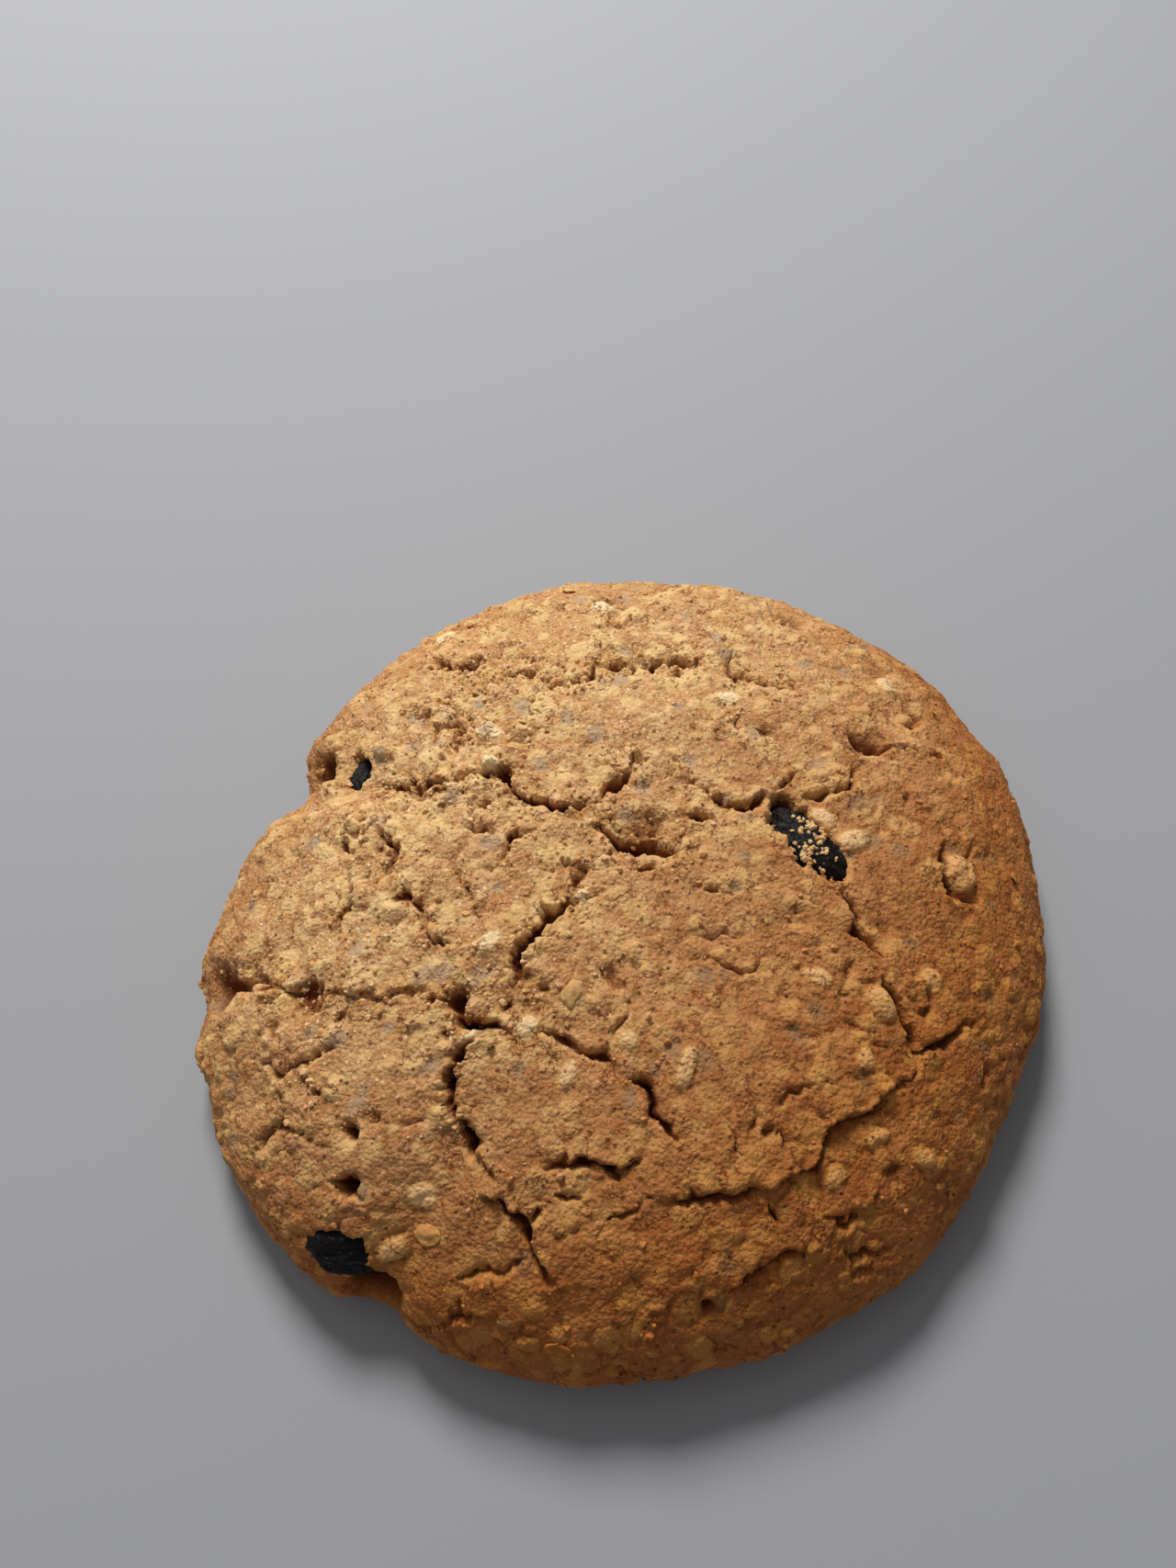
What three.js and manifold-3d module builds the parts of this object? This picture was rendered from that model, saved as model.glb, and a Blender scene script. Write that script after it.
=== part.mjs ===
// An oatmeal and raisin cookie: a domed, slightly oval drop cookie, baked as one piece of dough,
// with three raisins that sit in pockets of their own. Millimetres, +Z up. The origin is on the
// flat base, under the middle of the cookie. Angles are in degrees, turned from +X towards +Y.
import * as THREE from "three";
import { mergeVertices } from "three/addons/utils/BufferGeometryUtils.js";
import Module from "manifold-3d";

// ---- Driving dimensions ----
const MEAN_RADIUS = 39.7;
const DOME_HEIGHT = 18.5;
const BULGE_HEIGHT = 4.0; // level at which the side stands out furthest
const TUCK_IN = 1.8; // how far the side turns in under the bulge
const DOME_POWER = 2.4; // higher makes the top flatter
const SHOULDER_POWER = 1.7; // higher makes the shoulder rounder

// The outline is a mean radius with broad lobes, less a few cracks that run out to the rim. One
// wave moves it towards the front, two waves make it oval, and the others leave it slightly uneven.
const LOBES = [
  { waves: 1, size: 0.7, towards: -122 },
  { waves: 2, size: 1.7, towards: 46 },
  { waves: 4, size: 0.4, towards: 26 },
  { waves: 9, size: 0.18, towards: -95 },
];
const NOTCHES = [
  { at: 161, deep: 3.4, spread: 6.5 },
  { at: 150, deep: 0.8, spread: 12 },
  { at: -166, deep: 1.3, spread: 3.5 },
  { at: 177, deep: 1.6, spread: 9 },
  { at: -121, deep: 1.7, spread: 4 },
  { at: 30, deep: 0.5, spread: 5 },
];

// Broad hollows in the top: the crack valleys beside the left raisin, on the left rim and under
// the front raisin, and three pits.
const HOLLOWS = [
  { x: -30.5, y: 12.5, wide: 2.6, deep: 2.2 },
  { x: -36.5, y: -9.2, wide: 2.2, deep: 1.5 },
  { x: -27.8, y: -11.6, wide: 1.9, deep: 1.6 },
  { x: -22.5, y: -33.2, wide: 2.4, deep: 1.8 },
  { x: 0.5, y: 1.6, wide: 2.2, deep: 1.0 },
  { x: -16.3, y: 21.8, wide: 1.6, deep: 1.2 },
];

// Cracks that are wide enough to be cut into the solid, each as points of its course in plan.
const CRACK_DEPTH = 1.8;
const CRACK_WIDTH = 1.1;
const CRACK_END_SHARE = 0.3; // width and depth at a crack's ends, as a share of those halfway
const CRACK_ABOVE = 1.5; // how far the cutting wedge stands out of the surface
const CRACKS = [
  [[17.8, -3.8], [18.4, -6.2], [20, -8.8], [20.6, -12], [22.4, -15], [22.6, -18.5]],
  [[22.6, -18.5], [18.5, -21.2], [15.5, -22.4], [13.6, -25.6], [9.5, -27.8], [3, -28.5]],
  [[-4.8, -4.9], [-7.8, -6], [-9.3, -8.5], [-10.4, -12]],
  [[-20, -12], [-16.3, -12.6], [-14.2, -15], [-15.4, -19], [-14, -22.8], [-12, -26.4]],
  [[-10.8, 5.6], [-6.8, 4], [-3.4, 4.4], [-1.2, 6.6], [0, 9]],
  [[-12.3, -27.9], [-9.2, -29.6], [-8.3, -32.2]],
];

// Each raisin is an egg-shaped solid with blunt wrinkles. turn is about +Z. The pocket's mouth is
// an ellipse that opens along mouthLean from the vertical, towards mouthAt.
const WRINKLES = 7;
const WRINKLE_DEPTH = 0.07; // as a share of the radius
const POCKET_GAP = 0.35;
const MOUTH_LENGTH = 12;
const RAISINS = [
  {
    name: "raisin_right",
    centre: [14.9, 1.2, 14.5],
    half: [5.2, 2.9, 2.3],
    turn: -44,
    mouth: [3.9, 2.5],
    mouthLean: 0,
    mouthAt: 0,
  },
  {
    name: "raisin_left",
    centre: [-25.6, 10.4, 9.4],
    half: [4.4, 3.1, 2.3],
    turn: 70,
    mouth: [1.9, 1.3],
    mouthLean: 0,
    mouthAt: 0,
  },
  {
    name: "raisin_front",
    centre: [-23.6, -29.9, 6.4],
    half: [3.7, 2.7, 2.3],
    turn: -10,
    mouth: [2.5, 1.6],
    mouthLean: 38,
    mouthAt: -124,
  },
];

// ---- Fineness of the meshes ----
const ROUND_STEPS = 96;
const DOME_STEPS = 17;
const TUCK_STEPS = 3;
const CRACK_STEPS_PER_POINT = 3;
const RAISIN_STEPS = [18, 11];
const MOUTH_STEPS = 20;

const DOUGH = new THREE.MeshStandardMaterial({ color: 0xb57b45, roughness: 0.9, metalness: 0 });
const RAISIN_SKIN = new THREE.MeshStandardMaterial({ color: 0x17120f, roughness: 0.45, metalness: 0 });

const wasm = await Module();
wasm.setup();

const radians = THREE.MathUtils.degToRad;

// Radius of the widest outline at an angle in radians.
function outline(angle) {
  let radius = MEAN_RADIUS;
  for (const lobe of LOBES) {
    radius += lobe.size * Math.cos(lobe.waves * (angle - radians(lobe.towards)));
  }
  for (const notch of NOTCHES) {
    const away = THREE.MathUtils.euclideanModulo(
      THREE.MathUtils.radToDeg(angle) - notch.at + 180, 360) - 180;
    radius -= notch.deep * Math.exp(-((away / notch.spread) ** 2));
  }
  return radius;
}

// Height of the smooth dome where reach runs from 0 in the middle to 1 at the outline.
function domeHeight(reach) {
  const rise = (1 - Math.min(reach, 1) ** DOME_POWER) ** (1 / SHOULDER_POWER);
  return BULGE_HEIGHT + (DOME_HEIGHT - BULGE_HEIGHT) * rise;
}

function hollowDepth(x, y) {
  let depth = 0;
  for (const hollow of HOLLOWS) {
    const squared = ((x - hollow.x) ** 2 + (y - hollow.y) ** 2) / hollow.wide ** 2;
    depth += hollow.deep * Math.exp(-squared);
  }
  return depth;
}

// Height of the top at a point in plan, hollows included.
function topHeight(x, y) {
  const reach = Math.hypot(x, y) / outline(Math.atan2(y, x));
  return domeHeight(reach) - hollowDepth(x, y);
}

function solidFrom(geometry) {
  const bare = geometry.clone();
  bare.deleteAttribute("normal");
  bare.deleteAttribute("uv");
  const merged = mergeVertices(bare, 1e-4);
  return new wasm.Manifold(
    new wasm.Mesh({
      numProp: 3,
      vertProperties: merged.attributes.position.array,
      triVerts: new Uint32Array(merged.index.array),
    }),
  );
}

function geometryFrom(solid) {
  const mesh = solid.getMesh();
  const places = new Float32Array(mesh.numVert * 3);
  for (let i = 0; i < mesh.numVert; i++) {
    places.set(mesh.vertProperties.subarray(i * mesh.numProp, i * mesh.numProp + 3), i * 3);
  }
  const geometry = new THREE.BufferGeometry();
  geometry.setAttribute("position", new THREE.BufferAttribute(places, 3));
  geometry.setIndex(new THREE.BufferAttribute(new Uint32Array(mesh.triVerts), 1));
  geometry.computeVertexNormals();
  return geometry;
}

// The dough before anything is cut from it: a lathe of unit radius, pushed out to the outline.
function makeDome() {
  const profile = [new THREE.Vector2(0, 0)];
  for (let i = 0; i <= TUCK_STEPS; i++) {
    const turn = (i / TUCK_STEPS) * (Math.PI / 2);
    profile.push(new THREE.Vector2(
      1 - (TUCK_IN / MEAN_RADIUS) * (1 - Math.sin(turn)), BULGE_HEIGHT * (1 - Math.cos(turn))));
  }
  for (let i = 1; i <= DOME_STEPS; i++) {
    // Steps crowd together towards the shoulder, where the profile bends most.
    const reach = Math.cos((i / DOME_STEPS) * (Math.PI / 2)) ** 0.6;
    profile.push(new THREE.Vector2(i === DOME_STEPS ? 0 : reach, domeHeight(reach)));
  }
  const lathe = new THREE.LatheGeometry(profile, ROUND_STEPS);
  lathe.rotateX(Math.PI / 2); // the lathe's own axis is +Y
  const places = lathe.attributes.position;
  for (let i = 0; i < places.count; i++) {
    const angle = Math.atan2(places.getY(i), places.getX(i));
    const reach = Math.hypot(places.getX(i), places.getY(i));
    const radius = reach * outline(angle);
    const x = radius * Math.cos(angle);
    const y = radius * Math.sin(angle);
    const z = places.getZ(i);
    // Hollows fade out below the bulge, so that the base stays flat.
    const share = THREE.MathUtils.smoothstep(z, 0.6 * BULGE_HEIGHT, 1.6 * BULGE_HEIGHT);
    places.setXYZ(i, x, y, z - share * Math.min(hollowDepth(x, y), 0.5 * z));
  }
  return solidFrom(lathe);
}

// A wedge that follows a crack's course over the dome, narrow and shallow at both ends. It is a
// chain of upright triangles: two corners stand above the surface and one lies under it.
function makeCrack(course) {
  const points = course.map(([x, y]) => new THREE.Vector3(x, y, 0));
  const path = new THREE.CatmullRomCurve3(points, false, "centripetal");
  const steps = (course.length - 1) * CRACK_STEPS_PER_POINT;
  const corners = [];
  const faces = [];
  for (let i = 0; i <= steps; i++) {
    const place = path.getPoint(i / steps);
    const ahead = path.getTangent(i / steps);
    const share = CRACK_END_SHARE + (1 - CRACK_END_SHARE) * Math.sin((Math.PI * i) / steps);
    const depth = CRACK_DEPTH * share;
    const spread = (CRACK_WIDTH / 2) * share * (1 + CRACK_ABOVE / depth);
    const level = topHeight(place.x, place.y);
    corners.push(place.x + ahead.y * spread, place.y - ahead.x * spread, level + CRACK_ABOVE);
    corners.push(place.x - ahead.y * spread, place.y + ahead.x * spread, level + CRACK_ABOVE);
    corners.push(place.x, place.y, level - depth);
    if (i === 0) continue;
    for (let side = 0; side < 3; side++) {
      const here = 3 * i + side;
      const next = 3 * i + ((side + 1) % 3);
      faces.push(here - 3, here, next, here - 3, next, next - 3);
    }
  }
  const last = 3 * steps;
  faces.push(0, 1, 2, last, last + 2, last + 1);
  const wedge = new THREE.BufferGeometry();
  wedge.setAttribute("position", new THREE.Float32BufferAttribute(corners, 3));
  wedge.setIndex(faces);
  return solidFrom(wedge);
}

// An egg-shaped body with lengthwise wrinkles, standing at the raisin's place.
function raisinGeometry(raisin, grow) {
  const geometry = new THREE.SphereGeometry(1, ...RAISIN_STEPS);
  geometry.rotateZ(Math.PI / 2); // the poles go to the raisin's two ends
  const places = geometry.attributes.position;
  for (let i = 0; i < places.count; i++) {
    const point = new THREE.Vector3().fromBufferAttribute(places, i);
    const around = Math.atan2(point.z, point.y);
    const girth = Math.hypot(point.y, point.z);
    const wrinkle = 1 + WRINKLE_DEPTH * girth * Math.cos(WRINKLES * around + 2.5 * point.x);
    places.setXYZ(
      i,
      point.x * (raisin.half[0] + grow),
      point.y * wrinkle * (raisin.half[1] + grow),
      point.z * wrinkle * (raisin.half[2] + grow),
    );
  }
  return geometry;
}

function placeRaisin(geometry, raisin) {
  return geometry.rotateZ(radians(raisin.turn)).translate(...raisin.centre);
}

// What is cut from the dough for a raisin: its own shape grown by the gap, and the mouth.
function makePocket(raisin) {
  const bed = solidFrom(placeRaisin(raisinGeometry(raisin, POCKET_GAP), raisin));
  const mouth = new THREE.CylinderGeometry(1, 1, MOUTH_LENGTH, MOUTH_STEPS);
  mouth.rotateX(Math.PI / 2).translate(0, 0, MOUTH_LENGTH / 2);
  mouth.scale(raisin.mouth[0], raisin.mouth[1], 1);
  mouth.rotateZ(radians(raisin.turn - raisin.mouthAt));
  mouth.rotateY(radians(raisin.mouthLean)).rotateZ(radians(raisin.mouthAt));
  mouth.translate(...raisin.centre);
  return bed.add(solidFrom(mouth));
}

function makeDough() {
  let dough = makeDome();
  for (const course of CRACKS) dough = dough.subtract(makeCrack(course));
  for (const raisin of RAISINS) dough = dough.subtract(makePocket(raisin));
  const mesh = new THREE.Mesh(geometryFrom(dough), DOUGH);
  mesh.name = "baked_dough";
  return mesh;
}

function makeRaisin(raisin) {
  const mesh = new THREE.Mesh(raisinGeometry(raisin, 0), RAISIN_SKIN);
  mesh.name = raisin.name;
  mesh.rotation.z = radians(raisin.turn);
  mesh.position.set(...raisin.centre);
  return mesh;
}

const cookie = new THREE.Group();
cookie.add(makeDough(), ...RAISINS.map(makeRaisin));

export default cookie;
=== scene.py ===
"""An oatmeal raisin cookie: a domed drop cookie with a cracked top, oat flakes, crumbs and raisins."""

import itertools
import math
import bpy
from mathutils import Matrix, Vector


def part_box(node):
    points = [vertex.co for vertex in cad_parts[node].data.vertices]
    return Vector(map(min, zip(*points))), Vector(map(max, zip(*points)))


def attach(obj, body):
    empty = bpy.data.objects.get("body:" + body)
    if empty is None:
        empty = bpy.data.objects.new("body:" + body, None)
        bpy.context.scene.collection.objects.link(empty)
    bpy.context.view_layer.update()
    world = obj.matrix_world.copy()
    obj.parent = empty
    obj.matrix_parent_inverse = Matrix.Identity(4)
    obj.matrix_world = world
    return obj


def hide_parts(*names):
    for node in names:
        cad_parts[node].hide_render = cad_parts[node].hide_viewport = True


bl_info = {
    "name": "Oatmeal Raisin Cookie",
    "version": (1, 0, 0),
    "blender": (4, 5, 0),
    "location": "View3D > Sidebar > Cookie",
    "description": "Builds a domed oatmeal cookie with raisins, oat flakes and crumbs on a pale floor",
    "category": "Add Mesh",
}

import bmesh
import bpy
import numpy as np
from mathutils import Matrix, Vector

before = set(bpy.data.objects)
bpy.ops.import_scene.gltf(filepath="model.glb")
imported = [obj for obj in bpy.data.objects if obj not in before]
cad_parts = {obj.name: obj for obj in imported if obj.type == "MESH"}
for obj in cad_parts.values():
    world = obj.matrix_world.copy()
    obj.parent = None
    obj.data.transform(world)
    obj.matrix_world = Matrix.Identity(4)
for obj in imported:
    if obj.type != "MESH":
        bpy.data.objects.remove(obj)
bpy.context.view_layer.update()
MM = 0.001
DOUGH_LOW, DOUGH_HIGH = (np.array(corner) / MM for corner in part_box("baked_dough"))

# ---- The dome, in millimetres, as the dough was shaped before it cracked ----
MEAN_RADIUS = 39.7
DOME_HEIGHT = 18.5
BULGE_HEIGHT = 4.0
TUCK_IN = 1.8
DOME_POWER = 2.4
SHOULDER_POWER = 1.7

# The outline is a mean radius with broad lobes, less a few cracks that run out to the rim:
# (waves, size, towards which angle), then (angle, depth, spread in degrees).
LOBES = ((1, 0.7, -122), (2, 1.7, 46), (4, 0.4, 26), (9, 0.18, -95))
NOTCHES = (
    (161, 3.4, 6.5),
    (150, 0.8, 12),
    (-166, 1.3, 3.5),
    (177, 1.6, 9),
    (-121, 1.7, 4),
    (30, 0.5, 5),
)

# Towards the near right side, turned from the light, where the dough is painted darker and browner as
# painted shade.
SHADED_SIDE = (0.7, -0.68, -0.2)

# ---- Cracks: (width, depth, how far its left side stands above its right), then its course ----
CRACKS = (
    # from the deep hole left of the middle, curling up to the right
    ((0.9, 1.6, 0.4), (-11.9, 8.1), (-10.9, 5.7), (-9.3, 5.1), (-6.8, 4.0), (-3.7, 4.2)),
    ((0.8, 1.4, 0.3), (-3.7, 4.2), (-2.4, 5.8), (-1.1, 6.8), (0.1, 9.1)),
    # rough furrow from the left raisin to the middle
    ((0.9, 0.6, 0.2), (-22.4, 8.2), (-20.0, 7.3), (-16.0, 7.8), (-12.3, 8.4)),
    # short ones on the left shoulder
    ((0.7, 1.1, -0.2), (-22.0, 4.5), (-22.4, 2.5), (-20.5, 0.6), (-22.0, -2.3)),
    ((0.7, 1.0, 0.1), (-25.2, -1.0), (-24.9, -3.5), (-25.7, -5.0)),
    ((0.8, 1.1, 0.2), (-20.0, -3.5), (-18.4, -4.6), (-17.3, -7.7), (-15.2, -8.3)),
    ((0.6, 0.8, 0.0), (-10.0, 2.0), (-11.2, 0.8), (-11.6, -1.0)),
    # the wide one below the middle, right plate up
    ((1.2, 1.9, 0.5), (-4.8, -4.9), (-7.8, -6.0), (-9.0, -8.2), (-10.5, -11.8), (-9.9, -12.6)),
    ((0.6, 0.8, 0.0), (-7.3, -0.5), (-4.6, -2.0), (-5.0, -3.2), (-4.4, -4.2)),
    # cavity in the middle and what runs out of it to the right raisin
    ((1.3, 1.8, 0.4), (-2.9, 2.3), (-1.6, 0.5), (0.8, 0.4), (3.8, -0.5)),
    ((0.8, 1.2, 0.1), (4.5, 3.2), (6.8, 2.8)),
    ((0.7, 1.0, 0.2), (0.0, -1.5), (1.6, -1.8)),
    ((0.9, 1.4, 0.3), (6.0, 5.7), (7.6, 4.5), (9.4, 4.3), (12.3, 5.6)),
    ((0.7, 1.0, 0.0), (9.9, 14.2), (9.2, 12.2)),
    ((0.7, 0.9, 0.0), (11.6, 13.0), (13.0, 11.4)),
    ((0.6, 0.8, 0.0), (5.8, -3.8), (7.0, -4.3)),
    ((0.6, 0.7, 0.0), (6.0, -10.0), (8.5, -11.2), (10.2, -10.2)),
    # the long one down the right side, under the right raisin
    ((1.0, 2.0, -0.2), (17.0, -2.0), (18.1, -4.3), (18.4, -6.4), (20.4, -9.2)),
    ((1.0, 1.9, -0.3), (20.2, -10.8), (21.6, -13.2), (22.8, -16.0), (22.6, -18.0)),
    ((0.9, 1.4, 0.2), (23.0, -16.7), (26.0, -15.1), (28.5, -13.7)),
    # step along the lower edge of the central plate
    ((0.9, 1.2, -1.0), (22.4, -18.2), (18.6, -21.2), (15.6, -22.4), (13.7, -25.6), (10.6, -27.2)),
    ((0.8, 1.2, -0.7), (10.6, -27.2), (8.0, -27.6), (4.8, -28.1), (0.5, -28.1)),
    ((0.7, 1.0, 0.0), (10.0, -28.4), (10.4, -29.6)),
    ((0.8, 1.0, -0.6), (14.0, -31.0), (9.5, -32.4), (8.3, -33.6), (6.2, -34.3)),
    ((0.7, 0.9, -0.3), (18.8, -27.0), (16.2, -29.4), (14.0, -29.2)),
    # valley from the left rim, turning down along the left plate
    ((1.2, 0.7, 0.3), (-37.5, -9.2), (-33.0, -9.4), (-28.2, -11.6)),
    ((0.7, 0.6, 0.3), (-28.0, -11.6), (-22.0, -12.2), (-18.0, -12.0), (-14.8, -13.4)),
    ((1.2, 2.4, 0.2), (-15.6, -13.0), (-14.3, -14.8), (-12.2, -15.3), (-10.3, -15.7)),
    ((1.1, 2.0, 0.5), (-13.0, -15.8), (-15.3, -18.5), (-15.0, -21.4), (-12.9, -25.2), (-11.5, -26.8)),
    ((1.0, 1.9, 0.5), (-12.3, -27.9), (-9.2, -29.6), (-8.3, -32.2), (-6.8, -33.9)),
    ((0.8, 1.2, 0.2), (-8.8, -29.9), (-7.6, -28.9)),
    ((0.8, 1.1, 0.4), (-8.6, -32.3), (-11.0, -33.3), (-14.5, -33.3)),
    ((0.9, 1.6, 0.3), (-8.0, -26.1), (-5.8, -25.6), (-2.0, -26.3), (0.0, -25.6)),
    ((0.7, 1.0, 0.0), (-6.5, -28.0), (-4.6, -28.0)),
    ((0.7, 0.9, 0.0), (-2.6, -29.7), (-0.4, -29.3)),
    # the branch in the lower middle
    ((1.0, 2.0, 0.3), (-0.7, -19.4), (0.5, -20.2), (0.8, -22.2), (2.9, -24.4)),
    ((0.6, 0.8, 0.0), (6.8, -22.8), (7.3, -24.2), (8.1, -25.6)),
    ((0.9, 1.2, 0.2), (-8.0, -16.0), (-5.6, -17.1), (-2.4, -17.9), (-2.2, -19.2)),
    ((0.6, 0.7, 0.0), (-2.0, -15.8), (-0.9, -14.4)),
    ((0.7, 0.8, 0.0), (-8.0, -12.0), (-7.1, -12.8)),
    ((0.6, 0.6, 0.0), (10.5, -21.5), (12.2, -20.2), (14.2, -19.5)),
    ((0.8, 1.6, 0.0), (-24.4, -26.3), (-23.2, -27.2), (-22.3, -27.7)),
    # upper half
    ((0.9, 1.2, 0.3), (-20.0, 25.0), (-18.6, 23.2), (-16.6, 21.8), (-14.7, 22.5)),
    ((0.8, 1.0, 0.1), (-15.4, 20.0), (-17.6, 18.1), (-18.6, 16.9)),
    ((0.8, 1.0, 0.2), (-12.6, 19.8), (-9.4, 20.0)),
    ((0.8, 1.2, 0.3), (-8.5, 18.4), (-6.6, 18.2), (-4.0, 18.8), (-3.4, 20.7), (1.4, 20.4)),
    ((0.8, 1.4, 0.3), (1.4, 20.4), (3.2, 21.1), (6.6, 21.5)),
    ((0.7, 1.0, 0.0), (-3.1, 23.9), (-2.5, 22.6)),
    ((0.8, 1.1, 0.2), (9.9, 22.8), (9.4, 20.2), (12.2, 18.5), (14.6, 18.2)),
    ((0.9, 1.1, 0.2), (19.5, 13.5), (22.3, 11.8), (25.6, 12.0)),
    ((0.8, 0.9, 0.0), (26.0, 15.0), (28.6, 16.8)),
    ((0.7, 0.9, 0.0), (27.4, 11.6), (29.2, 12.3)),
    ((0.8, 0.9, 0.2), (24.4, 7.9), (24.9, 5.9)),
    ((0.8, 1.0, 0.2), (20.6, 9.0), (18.2, 6.6), (15.0, 5.6)),
    ((0.6, 0.8, 0.0), (14.4, 8.1), (12.7, 6.2)),
    ((1.0, 1.4, -0.3), (27.7, 2.4), (26.9, -0.6), (27.9, -2.8), (30.2, -3.0)),
)

# ---- Pits: (x, y, half width, depth); a negative depth is a mound ----
PITS = (
    (-11.8, 8.0, 0.8, 1.6),
    (0.5, 1.4, 2.2, 0.9),
    (1.6, 2.7, 0.8, 0.9),
    (-28.0, -11.6, 1.5, 1.3),
    (-14.9, -13.0, 1.0, 2.4),
    (0.3, -19.8, 0.7, 1.2),
    (2.0, 20.5, 0.7, 1.6),
    (-16.3, 22.0, 1.2, 1.0),
    (-20.0, 16.4, 0.8, 0.9),
    (-1.2, 27.0, 0.7, 0.9),
    (-2.2, 31.4, 0.9, 1.6),
    (13.0, 29.0, 0.9, 0.9),
    (16.5, 30.0, 2.2, 1.0),
    (22.0, 12.2, 1.5, 0.9),
    (5.2, -35.6, 0.7, 1.3),
    (-23.0, -22.8, 0.75, 2.0),
    (-23.2, -26.8, 0.8, 2.2),
    (-13.4, -23.8, 0.7, 2.0),
    (-15.3, -19.3, 0.6, 1.8),
    (-30.3, -14.3, 0.6, 0.9),
    (-33.0, -8.8, 0.8, 0.9),
    (20.3, -25.8, 0.6, 0.8),
    (29.5, -17.3, 0.6, 0.8),
    (-21.0, -21.8, 0.6, 1.2),
    (3.6, 5.6, 0.5, 0.6),
    (13.3, 4.7, 0.9, 2.2),
    (-28.4, 9.4, 1.5, -1.3),
    (-30.5, 12.6, 2.4, 1.9),
    (-36.5, -9.2, 2.0, 1.2),
    (-21.3, -33.5, 1.9, 2.6),
)

# ---- Oat pieces that show: (x, y, half length, half width, turn in degrees, how proud) ----
OATS = (
    (20.0, -12.9, 1.3, 0.9, -60, 0.6),
    (3.6, -18.7, 1.4, 0.7, 75, 0.35),
    (-9.0, -15.4, 0.9, 0.8, 0, 0.35),
    (-19.4, -31.0, 1.3, 1.0, 40, 0.5),
    (-4.9, -4.5, 0.8, 0.6, 20, 0.35),
    (-12.2, -8.4, 1.1, 0.8, 60, 0.3),
    (19.0, 1.5, 1.3, 1.0, 15, 0.5),
    (16.5, 3.6, 1.1, 0.7, -40, 0.4),
    (28.5, -0.5, 1.9, 1.5, 80, 0.9),
    (-12.9, 9.0, 0.8, 0.7, 30, 0.4),
    (14.8, -11.0, 1.0, 0.7, -20, 0.3),
    (18.1, -17.5, 1.0, 0.7, 50, 0.35),
    (24.7, -10.5, 1.1, 0.8, -60, 0.4),
    (19.0, -23.3, 1.2, 0.7, 10, 0.35),
    (22.9, -24.3, 1.1, 0.8, -30, 0.4),
    (15.3, -26.3, 1.1, 0.7, 35, 0.4),
    (-0.9, -16.6, 0.9, 0.6, 0, 0.3),
    (-5.8, -19.2, 0.9, 0.7, 60, 0.3),
    (-13.7, -16.1, 0.7, 0.6, 0, 0.35),
    (-2.7, 29.5, 1.4, 0.8, 10, 0.5),
    (-19.0, 28.5, 1.4, 0.8, 30, 0.4),
    (25.0, 20.0, 1.3, 0.8, -45, 0.4),
    (9.0, 16.5, 1.1, 0.8, 20, 0.3),
    (-13.5, 13.0, 1.2, 0.9, 0, 0.3),
    (-17.0, -27.5, 1.2, 0.9, -20, 0.35),
)

# ---- Soaked, see-through spots: (x, y, radius) ----
SOAKED = (
    (-17.7, -10.8, 0.8),
    (-13.3, -11.4, 0.8),
    (-5.3, -13.3, 0.7),
    (2.5, -17.2, 0.8),
    (-12.6, 1.0, 0.8),
    (11.1, 12.4, 0.8),
    (-24.9, -15.7, 0.7),
    (-16.8, -18.3, 0.7),
    (5.0, 8.9, 0.7),
    (-20.5, 15.7, 0.8),
    (-6.0, 14.0, 0.7),
    (17.0, 22.0, 0.7),
    (-3.5, 12.0, 0.8),
    (12.5, -16.0, 0.7),
    (-29.0, 3.0, 0.7),
)

# ---- How many flakes, pinholes and soaked spots are scattered over the whole dome ----
FLAKES = 1300
PINHOLES = 420
SOAKED_SPOTS = 120

# ---- Rings of the crust's mesh, over the dome and under the base ----
DOME_RINGS = 164
BASE_RINGS = 62

# ---- Raisins: name, centre, half sizes, turn about +Z in degrees ----
RAISINS = (
    ("raisin_right", (14.9, 1.2, 14.5), (5.2, 2.9, 2.3), -44),
    ("raisin_left", (-25.2, 10.4, 9.3), (4.0, 2.3, 2.2), 70),
    ("raisin_front", (-23.6, -29.9, 6.4), (3.7, 2.7, 2.3), -10),
)
# ---- Mouths of the raisins' pockets: (x, y, half length, half width, turn in degrees, depth) ----
MOUTHS = (
    (15.2, 1.0, 4.1, 1.3, -46, 3.0),
    (14.0, 3.9, 1.8, 0.6, -35, 3.4),
    (-25.7, 10.9, 1.9, 0.95, 95, 4.4),
    (-24.0, -30.9, 2.1, 1.15, -18, 3.2),
)


def linear(hex_colour):
    """An sRGB hex colour as linear red, green and blue."""
    parts = ((hex_colour >> shift & 255) / 255 for shift in (16, 8, 0))
    return tuple(c / 12.92 if c <= 0.04045 else ((c + 0.055) / 1.055) ** 2.4 for c in parts)


def smooth(value, start, end):
    """0 before start, 1 after end, and an even S-curve between them."""
    share = np.clip((value - start) / (end - start), 0, 1)
    return share * share * (3 - 2 * share)


# ---- Scattered values in space ----


def scramble(whole, seed):
    """Whole-numbered places in space, turned into evenly spread whole numbers."""
    mixed = whole[:, 0] * 73856093 ^ whole[:, 1] * 19349663 ^ whole[:, 2] * 83492791
    mixed = (mixed ^ seed * 2654435761) & 0xFFFFFFFF
    for shift, factor in ((16, 0x45D9F3B), (16, 0x45D9F3B)):
        mixed = ((mixed >> shift ^ mixed) * factor) & 0xFFFFFFFF
    return mixed >> 16 ^ mixed


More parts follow.
